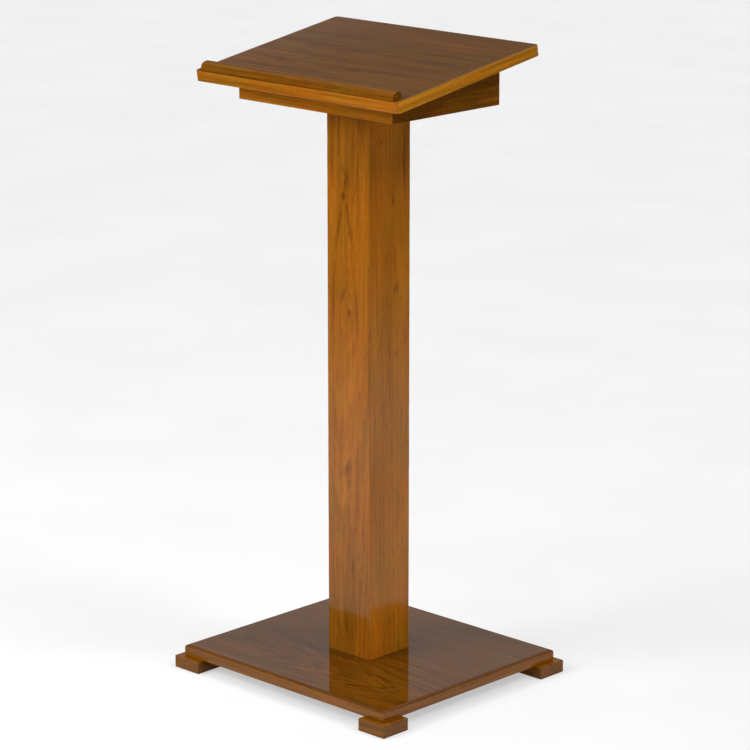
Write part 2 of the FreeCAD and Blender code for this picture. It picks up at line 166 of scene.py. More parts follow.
def upright_board(name, side, outer, low, top_at, ease, gap_at=None):
    """A board of a mitred box, standing up. outer is the box's half width and half depth.

    top_at(point) is the height of the top, ease the rounding of the upright corners and
    gap_at(corner, height) the width of an open mitre.
    """
    step, foot_ease = 12 * MM, 0.2 * MM
    turn = Matrix.Rotation(math.radians(90 * side), 4, "Z")
    half, away = (outer[0], outer[1]) if side % 2 == 0 else (outer[1], outer[0])
    rings = []
    top = max(top_at(Vector(p)) for p in ((0, outer[1], 0), (0, -outer[1], 0)))
    count = max(4, int((top - low) / step))
    arc_wear = [1.0, 0.9, 0.7, 0.3, 0.0]
    for k in range(-1, count + 1):
        share = max(k, 0) / count
        inset = foot_ease if k == -1 else 0.0
        height = (top - low) * share
        bends = []
        for corner, sign in ((side, 1), ((side - 1) % 4, -1)):
            radius = ease * (1 + SANDED_SWING * wander(height, corner + 1))
            gap = gap_at(corner, low + height) / 2 if gap_at else 0.0
            bend = arc((half - radius, radius), radius, -45, -90, len(arc_wear) - 1)
            bend[0] = (bend[0][0] - gap, bend[0][1])
            bends.append([(sign * s, d + inset) for s, d in bend])
        inner_half = half - BOARD_WALL
        ring = [(inner_half, BOARD_WALL)] + bends[0]
        ring += list(reversed(bends[1])) + [(-inner_half, BOARD_WALL)]
        points = []
        for s, d in ring:
            flat = turn @ Vector((s, -away + d, 0))
            ceiling = top_at(flat)
            z = low + foot_ease if k == 0 else low + (ceiling - low) * share
            points.append(Vector((flat.x, flat.y, min(z, ceiling))))
        rings.append(points)
    wear = [0.0] + arc_wear + list(reversed(arc_wear)) + [0.0]
    return loft(name, rings, wear)


def lipping(name, side, low, high, width, rounding, ease, place=UPRIGHT, corner=0.0):
    """A strip of mitred edging round a board whose lowest and highest corners are given.

    rounding is for the top edge, ease for the lower one, and corner for the board's corners in
    plan. place takes the board's own frame to the row frame.
    """
    turn = Matrix.Rotation(math.radians(90 * side), 4, "Z")
    middle = Vector(((low.x + high.x) / 2, (low.y + high.y) / 2, 0))
    half = ((high.x - low.x) / 2, (high.y - low.y) / 2)
    if side % 2:
        half = (half[1], half[0])
    thick = high.z - low.z
    nick = 0.35 * MM
    runs, bend_steps = 48, 6
    stations = [(-1 + 2 * k / runs, 0.0) for k in range(runs + 1)]
    if corner:
        turns = [math.radians(45 * k / bend_steps) for k in range(1, bend_steps + 1)]
        stations = [(-1, t) for t in reversed(turns)] + stations + [(1, t) for t in turns]
    rings = []
    for share, bend in stations:
        # the rounding strays along the edge, and meets its neighbour's at the mitres
        swing = ROUTED_SWING * (1 - abs(share) ** 8)
        radius = rounding * (1 + swing * wander(share * half[0], side + 11))
        section = [(width, 0.0), (ease, 0.0), (0.3 * ease, 0.3 * ease), (0.0, ease)]
        section += arc((radius, thick - radius), radius, 180, 90, 6)
        section += [(width - nick, thick), (width, thick - nick)]
        ring = []
        for d, z in section:
            if corner:
                # the outside goes round the corner, and the inside stays a sharp mitre
                inside = d >= width - 2 * nick
                reach = (corner - d) * (math.tan(bend) if inside else math.sin(bend))
                along = share * (half[0] - corner) + math.copysign(reach, share)
                inward = d if inside else corner - (corner - d) * math.cos(bend)
            else:
                along, inward = share * (half[0] - d), d
            flat = turn @ Vector((along, -half[1] + inward, low.z + z)) + middle
            ring.append(place @ flat)
        rings.append(ring)
    wear = [0, 0.3, 0.6, 0.3, 0.1, 0.4, 0.8, 1.0, 0.8, 0.4, 0.1, 0.0, 0.0]
    cap = [0, 0, 0, 0, 0, 0.15, 0.45, 0.75, 0.95, 1.0, 1.0, 1.0, 1.0]
    return loft(name, rings, wear, cap)


def ledge(name, low, high, nose, back_round, place):
    """The book ledge: a strip with a full round nose, a smaller round behind, and square ends."""
    depth, thick = high.y - low.y, high.z - low.z
    nick, ease = 0.3 * MM, 0.4 * MM
    runs, nose_steps, back_steps = 40, 10, 6
    section = [(depth, 0.0), (nick, 0.0), (0.0, nick)]
    # cap marks the ledge's top, which its material darkens as painted shade
    cap = [0.0] * len(section)
    section += arc((nose, thick - nose), nose, 180, 90, nose_steps)
    cap += [k / nose_steps for k in range(nose_steps + 1)]
    section += arc((depth - back_round, thick - back_round), back_round, 90, 0, back_steps)
    cap += [1.0] * (len(section) - len(cap))
    ends = {0: low.x, 1: low.x + ease, runs - 1: high.x - ease, runs: high.x}
    middle = Vector((depth / 2, thick / 2))
    rings = []
    for k in range(runs + 1):
        x = ends.get(k, low.x + (high.x - low.x) * k / runs)
        inset = ease if k in (0, runs) else 0.0
        ring = []
        for d, z in section:
            pull = (middle - Vector((d, z))).normalized() * inset
            ring.append(place @ Vector((x, low.y + d + pull.x, low.z + z + pull.y)))
        rings.append(ring)
    return loft(name, rings, cap=cap)


# Materials


class Tree:
    """Adds nodes to a node tree in few words."""

    def __init__(self, tree):
        self.tree = tree

    def add(self, kind, *inputs, **named):
        node = self.tree.nodes.new(kind)
        settings = {k: v for k, v in named.items() if hasattr(node, k)}
        for key, value in settings.items():
            setattr(node, key, value)
        for key, value in enumerate(inputs):
            self.put(node.inputs[key], value)
        for key, value in named.items():
            if key not in settings:
                self.put(node.inputs[key.replace("_", " ")], value)
        return node

    def put(self, socket, value):
        if isinstance(value, bpy.types.NodeSocket):
            self.tree.links.new(value, socket)
        elif value is not None:
            socket.default_value = value

    def math(self, operation, *values):
        return self.add("ShaderNodeMath", *values, operation=operation).outputs[0]

    def noise(self, vector, scale, detail=2.0, rough=0.5, seed=0.0):
        """Noise from 0 to 1, with its own scale along each axis."""
        moved = self.add("ShaderNodeMapping", vector, (seed, seed * 1.7, -seed), (0, 0, 0), scale)
        node = self.add(
            "ShaderNodeTexNoise", Vector=moved.outputs[0], Scale=1.0, Detail=detail, Roughness=rough
        )
        return node.outputs["Fac"]

    def noise_line(self, place, scale, detail):
        """Noise from 0 to 1 along a line."""
        node = self.add(
            "ShaderNodeTexNoise", noise_dimensions="1D", W=place, Scale=scale, Detail=detail
        )
        return node.outputs["Fac"]

    def ramp(self, value, low, high, to_low=0.0, to_high=1.0):
        """A smooth step from to_low at low to to_high at high."""
        return self.add(
            "ShaderNodeMapRange", value, low, high, to_low, to_high, interpolation_type="SMOOTHSTEP"
        ).outputs[0]

    def mix(self, share, one, other, blend="MIX"):
        node = self.tree.nodes.new("ShaderNodeMix")
        node.data_type = "RGBA"
        node.blend_type = blend
        self.put(node.inputs[0], share)
        self.put(node.inputs[6], one)
        self.put(node.inputs[7], other)
        return node.outputs[2]

    def scaled(self, colour, by):
        return self.add("ShaderNodeVectorMath", colour, operation="SCALE", Scale=by).outputs[0]


def new_material(name):
    """A material with an empty node tree, and that tree's builder."""
    material = bpy.data.materials.new(name)
    material.use_nodes = True
    material.node_tree.nodes.clear()
    return material, Tree(material.node_tree)


def toned(colour, by):
    """A colour made darker or paler as a whole."""
    return tuple(c * by for c in colour)


def wood_group():
    """Wood cut from a log. Log coordinates have x up the trunk and the pith at y = z = 0."""
    tree = bpy.data.node_groups.new("wood", "ShaderNodeTree")
    for label, kind, default in (
        ("Log", "NodeSocketVector", None),
        ("Shift", "NodeSocketFloat", 0.0),
        ("Ring width", "NodeSocketFloat", 0.003),
        ("Taper", "NodeSocketFloat", 0.03),
    ):
        socket = tree.interface.new_socket(name=label, in_out="INPUT", socket_type=kind)
        if default is not None:
            socket.default_value = default
    for label in ("Early", "Fibre", "Pores", "Rays", "Mottle", "Streaks", "Flecks"):
        tree.interface.new_socket(name=label, in_out="OUTPUT", socket_type="NodeSocketFloat")
    t = Tree(tree)
    given = t.add("NodeGroupInput").outputs
    log = given["Log"]
    axes = t.add("ShaderNodeSeparateXYZ", log).outputs
    squares = [t.math("MULTIPLY", axes[i], axes[i]) for i in (1, 2)]
    radius = t.math("SQRT", t.math("ADD", squares[0], squares[1]))
    rough_radius = t.math("SUBTRACT", radius, t.math("MULTIPLY", axes[0], given["Taper"]))
    # three sizes of wobble in the rings
    for scale, reach, detail in (
        ((1.3, 7, 7), 0.020, 1.0),
        ((5.0, 42, 42), 0.0055, 2.0),
        ((45, 420, 420), 0.0011, 2.0),
    ):
        swing = t.math("SUBTRACT", t.noise(log, scale, detail), 0.5)
        rough_radius = t.math("MULTIPLY_ADD", swing, 2 * reach, rough_radius)
    rough_radius = t.math("ADD", rough_radius, given["Shift"])
    ring = t.math("DIVIDE", rough_radius, given["Ring width"])
    # rings differ in width, and their early wood in strength
    ring = t.math("MULTIPLY_ADD", t.noise_line(ring, 0.41, 2.0), 2.4, ring)
    part = t.math("FRACT", ring)
    fall = t.ramp(part, 0.05, 0.55, 1.0, 0.0)
    rise = t.ramp(part, 0.90, 1.0)
    early = t.math("MAXIMUM", fall, rise)
    strength = t.ramp(t.noise_line(ring, 0.23, 1.0), 0.3, 0.7, 0.35, 1.0)
    early = t.math("MULTIPLY", early, strength)
    fibre = t.noise(log, (24, 1150, 1150), 3.0, 0.6)
    pores = t.ramp(t.noise(log, (150, 2700, 2700), 1.0, 0.5), 0.56, 0.68)
    pores = t.math("MULTIPLY", pores, t.math("MULTIPLY_ADD", early, 0.8, 0.2))
    # rays run from the pith outwards, so they follow the turn round it
    around = t.math("ARCTAN2", axes[1], axes[2])
    ray_place = t.add(
        "ShaderNodeCombineXYZ",
        t.math("MULTIPLY", axes[0], 75.0),
        t.math("MULTIPLY", around, 133.0),
        t.math("MULTIPLY", radius, 45.0),
    ).outputs[0]
    rays = t.ramp(t.noise(ray_place, (1, 1, 1), 1.0), 0.60, 0.72)
    mottle = t.noise(log, (5, 30, 30), 3.0, 0.55, seed=3.1)
    streaks = t.noise(log, (3.6, 260, 260), 2.0, 0.5, seed=8.2)
    flecks = t.ramp(t.noise(log, (48, 300, 300), 2.0, 0.5, seed=5.5), 0.55, 0.72)
    t.add("NodeGroupOutput", early, fibre, pores, rays, mottle, streaks, flecks)
    return tree


WOOD = wood_group()


def log_mapping(grain, outward, pith, tilt=0.0):
    """A turn and a shift that take the row frame to log coordinates."""
    x = Vector(grain).normalized()
    z = (Vector(outward) - x * x.dot(Vector(outward))).normalized()
    y = z.cross(x)
    turn = Matrix((x, y, z))
    turn = Matrix.Rotation(math.radians(tilt), 3, "Z") @ turn
    shift = -(turn @ Vector(pith))
    return turn.to_euler("XYZ"), shift


def wood_material(
    name,
    grain,
    outward,
    pith,
    pale,
    dark,
    tilt=0.0,
    ring=0.003,
    taper=0.03,
    contrast=0.6,
    pore_share=0.6,
    ray_share=0.25,
    mottle_share=0.35,
    streak_share=0.25,
    fleck_share=0.15,
    knots=(),
    marks=(),
    painted_light_fades=(),
    cap=None,
    varnish=True,
    gloss=1.0,
    polish=0.05,
    ray_tint=(0.36, 0.15, 0.015),
):
    """Wood with its rings, pores and rays, under varnish or bare.

    Lengths are in metres in the row frame. The grain runs along grain, outward points out of the
    face, and the pith is the log's middle. knots are (place, size of heart, reach, push), marks
    are (start, end, half width, strength), and painted_light_fades are (axis, start, end, tone
    there, tone beyond). A mark is a dark streak in the grain, and a broad pale band of painted
    light where its strength is below zero; the fades are painted light and shade. cap tints what
    the mesh's cap attribute covers. gloss is the varnish's weight and polish its roughness.
    """
    material, t = new_material(name)
    turn, shift = log_mapping(grain, outward, pith, tilt)
    where = t.add("ShaderNodeTexCoord").outputs["Object"]
    log = t.add("ShaderNodeMapping", where, shift, turn, (1, 1, 1)).outputs[0]
    bulge = 0.0
    core = None
    for spot, size, reach, depth in knots:
        # a knot pushes the rings aside and shows a dark heart
        off = t.add("ShaderNodeVectorMath", where, spot, operation="SUBTRACT").outputs[0]
        off = t.add("ShaderNodeMapping", off, (0, 0, 0), turn, (1, 1, 1)).outputs[0]
        long = t.add("ShaderNodeMapping", off, (0, 0, 0), (0, 0, 0), (0.28, 1.0, 0.02))
        away = t.add("ShaderNodeVectorMath", long.outputs[0], operation="LENGTH").outputs[1]
        push = t.ramp(away, 0.0, reach, depth, 0.0)
        bulge = t.math("ADD", bulge, push)
        short = t.add("ShaderNodeMapping", off, (0, 0, 0), (0, 0, 0), (0.55, 1.0, 0.02))
        near = t.add("ShaderNodeVectorMath", short.outputs[0], operation="LENGTH").outputs[1]
        ragged = t.math("MULTIPLY_ADD", t.noise(where, (300, 300, 300)), size * 0.8, near)
        heart = t.ramp(ragged, size * 0.4, size * 2.4, 1.0, 0.0)
        core = heart if core is None else t.math("MAXIMUM", core, heart)
    group = t.add("ShaderNodeGroup", node_tree=WOOD)
    t.put(group.inputs["Log"], log)
    t.put(group.inputs["Shift"], bulge)
    group.inputs["Ring width"].default_value = ring
    group.inputs["Taper"].default_value = taper
    early, fibre, pores, rays, mottle, streaks, flecks = group.outputs
    colour = t.mix(t.math("MULTIPLY", early, contrast), (*pale, 1), (*dark, 1))
    tone = t.math("MULTIPLY_ADD", t.math("SUBTRACT", fibre, 0.5), 0.55, 1.06)
    blotch = t.math("MULTIPLY_ADD", t.math("SUBTRACT", mottle, 0.5), 2 * mottle_share, 1.0)
    line = t.ramp(streaks, 0.30, 0.70, 1 + 0.5 * streak_share, 1 - streak_share)
    tone = t.math("MULTIPLY", t.math("MULTIPLY", tone, blotch), line)
    tone = t.math("MULTIPLY", tone, t.math("MULTIPLY_ADD", flecks, -fleck_share, 1.0))
    for axis, start, end, from_tone, to_tone in painted_light_fades:
        # painted light and shade: the wood's tone changes along the row's axis
        place = t.add("ShaderNodeSeparateXYZ", where).outputs[axis]
        tone = t.math("MULTIPLY", tone, t.ramp(place, start, end, from_tone, to_tone))
    colour = t.scaled(colour, tone)
    # the hue drifts slowly between warm and cool
    hue = t.ramp(t.noise(where, (13, 13, 8), 2.0, seed=5.3), 0.3, 0.7)
    tint = t.mix(hue, (1.0, 0.90, 0.8, 1), (0.90, 0.98, 1.0, 1))
    colour = t.mix(1.0, colour, tint, "MULTIPLY")
    colour = t.mix(t.math("MULTIPLY", rays, ray_share), colour, (*ray_tint, 1))
    for start, end, half_wide, strength in marks:
        # a soft dark streak in the grain; where its strength is below zero, a broad pale band of
        # painted light
        middle, half_long = (start + end) / 2, 0.62 * (end - start).length
        facing, _ = log_mapping(end - start, outward, (0, 0, 0))
        off = t.add("ShaderNodeVectorMath", where, middle, operation="SUBTRACT").outputs[0]
        off = t.add("ShaderNodeMapping", off, (0, 0, 0), facing, (1, 1, 1)).outputs[0]
        shares = (1 / half_long, 1 / half_wide, 0.3 / half_wide)
        off = t.add("ShaderNodeMapping", off, (0, 0, 0), (0, 0, 0), shares).outputs[0]
        away = t.add("ShaderNodeVectorMath", off, operation="LENGTH").outputs[1]
        ragged = t.math("MULTIPLY_ADD", t.math("SUBTRACT", streaks, 0.5), 0.5, away)
        mask = t.ramp(ragged, 0.1, 1.1, abs(strength), 0.0)
        tint = DARK_STREAK if strength > 0 else PAINTED_LIGHT_BAND
        colour = t.mix(mask, colour, (*tint, 1), "MULTIPLY")
    pore_tint = toned(dark, 0.22)
    colour = t.mix(t.math("MULTIPLY", pores, pore_share), colour, (*pore_tint, 1))
    if core is not None:
        colour = t.mix(t.math("MULTIPLY", core, 0.35), colour, (*pore_tint, 1))
    # worn edges are paler and duller
    wear = t.add("ShaderNodeAttribute", attribute_name="wear").outputs["Fac"]
    colour = t.mix(t.math("MULTIPLY", wear, 0.10), colour, (*toned(pale, 1.5), 1))
    if cap:
        capped = t.add("ShaderNodeAttribute", attribute_name="cap").outputs["Fac"]
        colour = t.mix(capped, colour, (*cap, 1), "MULTIPLY")
    rough = t.math("MULTIPLY_ADD", pores, 0.2, 0.36 if varnish else 0.58)
    rough = t.math("MULTIPLY_ADD", fibre, 0.12, rough)
    rough = t.math("MULTIPLY_ADD", wear, 0.08, rough)
    height = t.math("SUBTRACT", t.math("MULTIPLY", fibre, 0.25), pores)
    bump = t.add("ShaderNodeBump", Strength=0.35, Distance=0.12 * MM, Height=height)
    shader = t.add(
        "ShaderNodeBsdfPrincipled", Base_Color=colour, Roughness=rough, Normal=bump.outputs[0]
    )
    if varnish:
        # the film swells here and there, and sinks over the pores
        swell = t.noise(where, (38, 38, 38), 2.0, 0.45)
        film = t.math("MULTIPLY_ADD", swell, 1.0, t.math("MULTIPLY", pores, -0.10))
        skin = t.add("ShaderNodeBump", Strength=0.30, Distance=0.10 * MM, Height=film)
        t.put(shader.inputs["Coat Normal"], skin.outputs[0])
        # faces that look down were never varnished
        facing = t.add("ShaderNodeTexCoord").outputs["Normal"]
        facing = t.add("ShaderNodeSeparateXYZ", facing).outputs[2]
        t.put(shader.inputs["Coat Weight"], t.ramp(facing, -0.95, -0.6, 0.0, gloss))
        shader.inputs["Coat Roughness"].default_value = polish
        shader.inputs["Coat IOR"].default_value = 1.5
        shader.inputs["Specular IOR Level"].default_value = 0.0
    else:
        shader.inputs["Specular IOR Level"].default_value = 0.3
    t.add("ShaderNodeOutputMaterial", shader.outputs[0])
    return material


def steel_material():
    """Bright zinc plate with turning marks."""
    material, t = new_material("zinc plated steel")
    where = t.add("ShaderNodeTexCoord").outputs["Object"]
    spangle = t.noise(where, (700, 700, 700), 3.0, 0.6)
    stain = t.noise(where, (90, 90, 90), 2.0)
    marks = t.noise(where, (300, 300, 6000), 1.0)
    colour = t.mix(spangle, (0.52, 0.53, 0.54, 1), (0.74, 0.73, 0.70, 1))
    colour = t.mix(t.ramp(stain, 0.5, 0.8, 0.0, 0.35), colour, (0.50, 0.44, 0.30, 1))
    bump = t.add("ShaderNodeBump", Strength=0.3, Distance=0.03 * MM, Height=marks)
    rough = t.ramp(spangle, 0.2, 0.8, 0.24, 0.42)
    shader = t.add(
        "ShaderNodeBsdfPrincipled", Base_Color=colour, Roughness=rough, Normal=bump.outputs[0],
        Metallic=1.0,
    )
    t.add("ShaderNodeOutputMaterial", shader.outputs[0])
    return material


def dress(piece, material):
    """Give every slot of a piece one material."""
    if not piece.material_slots:
        piece.data.materials.append(material)
    for one in piece.material_slots:
        one.material = material


# Colours

PALE = (0.270, 0.090, 0.0050)
DARK = (0.145, 0.041, 0.0018)
VENEER_PALE = (0.105, 0.038, 0.0022)
VENEER_DARK = (0.050, 0.016, 0.0010)
BASE_PALE = (0.09016, 0.03038, 0.001666)
BASE_DARK = (0.0392, 0.01127, 0.000784)
BARE_PALE = (0.62, 0.43, 0.25)
BARE_DARK = (0.46, 0.27, 0.13)
DARK_STREAK = (0.42, 0.29, 0.20)
# tint of the broad pale band that is painted light
PAINTED_LIGHT_BAND = (1.9, 1.9, 1.9)
VENEER_RAY = (0.13, 0.05, 0.005)
# the right lipping's paler colour is painted light on that side
RIGHT_LIP_PALE_WITH_PAINTED_LIGHT = (0.345, 0.134, 0.0070)


# The base: veneered board, lipping, feet

base_low, base_high = local_box([f"base_edge_{s}" for s in SIDES])
lip = base_high.x - local_box(["base_panel"])[1].x

for side, (pith, grain, outward) in enumerate(
    (
        ((0.02, base_low.y + 0.05, 0), (1, 0, 0), (0, -1, 0.2)),
        ((base_high.x - 0.06, 0, 0), (0, 1, 0), (1, 0, 0.2)),
        ((0.04, base_high.y - 0.05, 0), (1, 0, 0), (0, 1, 0.3)),
        ((base_low.x + 0.05, 0.1, 0), (0, -1, 0), (-1, 0, 0.1)),
    )
):
    name = f"base_edge_{SIDES[side]}"
    piece = lipping(name + "_oak", side, base_low, base_high, lip, 4 * MM, 1 * MM)
    stand_for(piece, name)
    material = wood_material(
        f"oak base lipping {SIDES[side]}", grain, outward, pith,
        toned(PALE, 0.69), toned(DARK, 0.69), tilt=0.4, ring=0.0027, contrast=0.5,
        cap=(0.44, 0.42, 0.42),
    )
    dress(piece, material)


def streaks_on(place, lines):
    """Marks for wood_material from starts, ends and half widths in millimetres, and strengths."""
    return [
        (place(*start), place(*end), STREAK_SPREAD * half_wide * MM, strength)
        for start, end, half_wide, strength in lines
    ]


def on_base(x, y):
    return Vector((x * MM, y * MM, base_high.z))


base_streaks = streaks_on(on_base, (
    # the first mark is a broad pale band of painted light in front of the column; the others are
    # dark streaks in the grain
    ((-5, -112), (215, -122), 48, -0.38),
    ((72, -157), (150, -138), 5, 0.42),
    ((148, -138), (162, -100), 6, 0.42),
    ((162, -106), (92, -84), 5, 0.45),
    ((96, -85), (-2, -80), 5, 0.42),
    ((134, -94), (24, -97), 4, 0.30),
    ((100, -115), (10, -118), 5, 0.25),
    ((-205, -100), (-60, -114), 6, 0.40),
    ((-150, -84), (-8, -98), 5, 0.36),
    ((-185, -124), (-25, -137), 5, 0.38),
    ((-120, -60), (0, -70), 5, 0.32),
    ((-90, -150), (40, -166), 5, 0.32),
    ((-200, -45), (-90, -52), 6, 0.25),
    ((40, 172), (190, 190), 7, 0.34),
    ((100, 145), (205, 160), 6, 0.25),
))
base_veneer = wood_material(
    "oak veneer base", (1, -0.03, 0), (0, 0, 1), (0, -0.115, -0.048),
    BASE_PALE, BASE_DARK, ring=0.0055, taper=-0.08,
    contrast=0.65, streak_share=0.30, mottle_share=0.2, pore_share=0.4,
    ray_tint=(0.12, 0.042, 0.004), marks=base_streaks,
)
dress(nodes["base_panel"], base_veneer)

for n, corner in enumerate(CORNERS):
    low, high = local_box([f"foot_{corner}"])
    middle = (low + high) / 2
    material = wood_material(
        f"oak foot {corner}", (1, 0, 0), (0, 0, 1), middle + Vector((0, 0.05 - 0.03 * n, -0.03)),
        toned(PALE, 0.56), toned(DARK, 0.56), tilt=1.0, ring=0.0031, contrast=0.6, gloss=0.9,
    )
    dress(nodes[f"foot_{corner}"], material)

# The column: four mitred boards

column_low, column_high = local_box([f"column_{s}" for s in SIDES])
column_outer = (column_high.x, column_high.y)


def column_gap(corner, height):
    """The front right mitre has opened a little along its middle."""
    if corner != 0:
        return 0.05 * MM
    open_from, open_along = 0.38, 0.32
    share = (height - open_from) / open_along
    return (0.1 + 0.4 * max(0.0, 1 - (2 * share - 1) ** 2)) * MM


def on_column_front(x, z):
    return Vector((x * MM, column_low.y, z * MM))


def on_column_right(y, z):
    return Vector((column_high.x, y * MM, z * MM))


column_knots = (
    (on_column_front(-10, 806), 0.0026, 0.016, 0.005),
    (on_column_front(3, 618), 0.0020, 0.012, 0.004),
    (on_column_front(-2, 355), 0.0024, 0.015, 0.005),
)
front_streaks = streaks_on(on_column_front, (
    ((-35, 950), (-35, 808), 5, 0.50),
    ((21, 892), (22, 776), 3.0, 0.42),
    ((1, 860), (-10, 804), 4.5, 0.52),
    ((-13, 800), (-8, 812), 7, 0.55),
    ((-4, 800), (-3, 778), 3, 0.35),
    ((-13, 800), (-29, 712), 4.5, 0.55),
    ((-30, 700), (-37, 570), 4.5, 0.42),
    ((-5, 798), (12, 714), 4.5, 0.52),
    ((12, 690), (24, 560), 4.0, 0.38),
    ((-6, 656), (-18, 630), 5, 0.48),
    ((-4, 625), (9, 610), 7, 0.35),
    ((10, 570), (11, 545), 3, 0.35),
    ((12, 925), (12, 870), 2, 0.32),
    ((27, 920), (28, 850), 2, 0.34),
    ((34, 930), (35, 860), 2, 0.30),
    ((-22, 930), (-21, 880), 2.5, 0.28),
    ((6, 370), (-12, 340), 9, 0.42),
    ((-11, 275), (-11, 197), 3.5, 0.35),
    ((10, 212), (9, 172), 3.5, 0.42),
    ((-30, 480), (-28, 400), 4, 0.25),
    ((24, 500), (26, 420), 3, 0.25),
    ((-8, 125), (-1, 48), 4, 0.45),
    ((-24, 110), (-20, 60), 4, 0.30),
    ((16, 120), (18, 66), 3.5, 0.30),
))
right_streaks = streaks_on(on_column_right, (
    ((-24, 860), (-24, 745), 13, 0.20),
    ((-20, 900), (-20, 890), 3.5, 0.45),
    ((33, 925), (34, 775), 4, 0.42),
    ((8, 804), (7, 790), 4, 0.45),
    ((16, 664), (13, 644), 7, 0.42),
    ((16, 556), (14, 538), 6, 0.32),
    ((-12, 480), (-13, 420), 4, 0.25),
    ((20, 330), (22, 260), 4, 0.25),
))
# the fades are painted light and shade: the front darker towards its foot and under the apron at
# its top, the right side paler all over and palest near its top
column_cuts = (
    dict(grain=(0, 0, 1), outward=(0, -1, 0), pith=(-0.006, 0.055, 0.0), tilt=0.6, ring=0.0036,
         taper=0.030, contrast=0.36, ray_share=0.15, pore_share=0.4, fleck_share=0.22,
         streak_share=0.15, knots=column_knots, marks=front_streaks,
         painted_light_fades=((2, 0.10, 0.25, 0.86, 1.0), (2, 0.76, 0.88, 1.0, 0.89))),
    dict(grain=(0, 0, 1), outward=(1, 0, 0), pith=(0.02, -0.075, 0.0), tilt=-0.4, ring=0.0031,
         taper=0.012, contrast=0.30, ray_share=0.20, pore_share=0.35, fleck_share=0.25,
         streak_share=0.14, mottle_share=0.42, marks=right_streaks,
         painted_light_fades=((2, 0.70, 0.86, 1.18, 1.47),)),
    dict(grain=(0, 0, 1), outward=(0, 1, 0), pith=(0.015, -0.02, 0.0), tilt=0.9, ring=0.0034,
         taper=0.026, contrast=0.50, ray_share=0.2),
    dict(grain=(0, 0, -1), outward=(-1, 0, 0), pith=(0.03, 0.06, 0.0), tilt=0.5, ring=0.0030,
         taper=0.020, contrast=0.45, ray_share=0.25),
)
for side, cut in enumerate(column_cuts):
    name = f"column_{SIDES[side]}"
    piece = upright_board(
        name + "_oak", side, column_outer, column_low.z, lambda point: column_high.z,
        1.5 * MM, column_gap,
    )
    stand_for(piece, name)
    dress(piece, wood_material(f"oak {name}", pale=PALE, dark=DARK, polish=0.11, **cut))

# The apron box under the desk

apron_low, apron_high = local_box([f"apron_{s}" for s in SIDES])
apron_outer = (apron_high.x, apron_high.y)
desk_low, desk_high = local_box([f"desk_edge_{s}" for s in SIDES], DESK)
under_desk = DESK @ Vector((0, 0, desk_low.z))
desk_normal = (DESK.to_3x3() @ Vector((0, 0, 1))).normalized()


def desk_underside(point):
    """The height of the desk's underside over a point of the plan."""
    return under_desk.z - desk_normal.y * (point.y - under_desk.y) / desk_normal.z


# each side's tone is painted light and shade: the front paler, the right side darker, as the light
# falls
apron_cuts = (
    dict(grain=(1, 0, 0), outward=(0, -1, 0), pith=(0, -0.105, 0.93), tone=1.15),
    dict(grain=(0, 1, 0), outward=(1, 0, 0), pith=(0.08, 0, 0.97), tone=0.71),
    dict(grain=(1, 0, 0), outward=(0, 1, 0), pith=(0, 0.04, 0.95), tone=0.9),
    dict(grain=(0, -1, 0), outward=(-1, 0, 0), pith=(-0.07, 0, 0.93), tone=0.85),
)
for side, cut in enumerate(apron_cuts):
    name = f"apron_{SIDES[side]}"
    piece = upright_board(
        name + "_oak", side, apron_outer, apron_low.z, desk_underside, 0.5 * MM
    )
    stand_for(piece, name)
    tone = cut.pop("tone")
    cut.update(pale=toned(PALE, tone), dark=toned(DARK, tone), tilt=0.8)
    dress(piece, wood_material(f"oak {name}", **cut))

# The desk: veneered board, lipping, book ledge

desk_lip = desk_high.x - local_box(["desk_panel"], DESK)[1].x
desk_x = tuple(DESK.to_3x3() @ Vector((1, 0, 0)))
desk_y = tuple(DESK.to_3x3() @ Vector((0, 1, 0)))
desk_z = tuple(DESK.to_3x3() @ Vector((0, 0, 1)))


def on_desk(x, y, z):
    return DESK @ Vector((x, y, z))


def on_desk_top(x, y):
    return on_desk(x * MM, y * MM, 0)


# grain, pith, pale tone and painted_light_fades of each side's lipping. The right lipping's paler
# colour and the fades are painted light: the front lipping paler to the right, the right lipping
# paler to the front
desk_lips = (
    (desk_x, on_desk(0.02, desk_low.y - 0.05, -0.04), PALE, ((0, -0.20, 0.20, 0.95, 1.22),)),
    (desk_y, on_desk(desk_high.x + 0.05, 0, -0.04), RIGHT_LIP_PALE_WITH_PAINTED_LIGHT,
     ((1, -0.16, 0.16, 1.34, 1.0),)),
    (desk_x, on_desk(0.02, desk_high.y + 0.05, -0.03), PALE, ()),
    (desk_y, on_desk(desk_low.x - 0.05, 0, -0.05), PALE, ()),
)
for side, (grain, pith, pale, painted_light_fades) in enumerate(desk_lips):
    name = f"desk_edge_{SIDES[side]}"
    piece = lipping(
        name + "_oak", side, desk_low, desk_high, desk_lip, 1 * MM, 1 * MM, DESK, DESK_CORNER
    )
    stand_for(piece, name)
    material = wood_material(
        f"oak desk lipping {SIDES[side]}", grain, desk_z, pith, pale, toned(pale, 0.55),
        tilt=0.4, ring=0.0029, contrast=0.4, painted_light_fades=painted_light_fades, cap=(0.37, 0.39, 0.40),
    )
    dress(piece, material)

desk_streaks = streaks_on(on_desk_top, (
    ((-195, -54), (-95, -63), 6, 0.45),
    ((-150, -57), (-112, -60), 7, 0.35),
    ((12, -62), (56, -62), 7, 0.50),
    ((-60, -66), (30, -64), 5, 0.22),
    ((-215, -90), (-80, -96), 5, 0.28),
    ((-160, -76), (-20, -84), 5, 0.25),
    ((110, -22), (150, -18), 6, 0.22),
    ((-150, 20), (0, 14), 6, 0.20),
    ((20, 60), (190, 52), 7, 0.20),
    ((-170, 95), (-40, 88), 6, 0.18),
    ((60, 120), (200, 112), 6, 0.20),
))
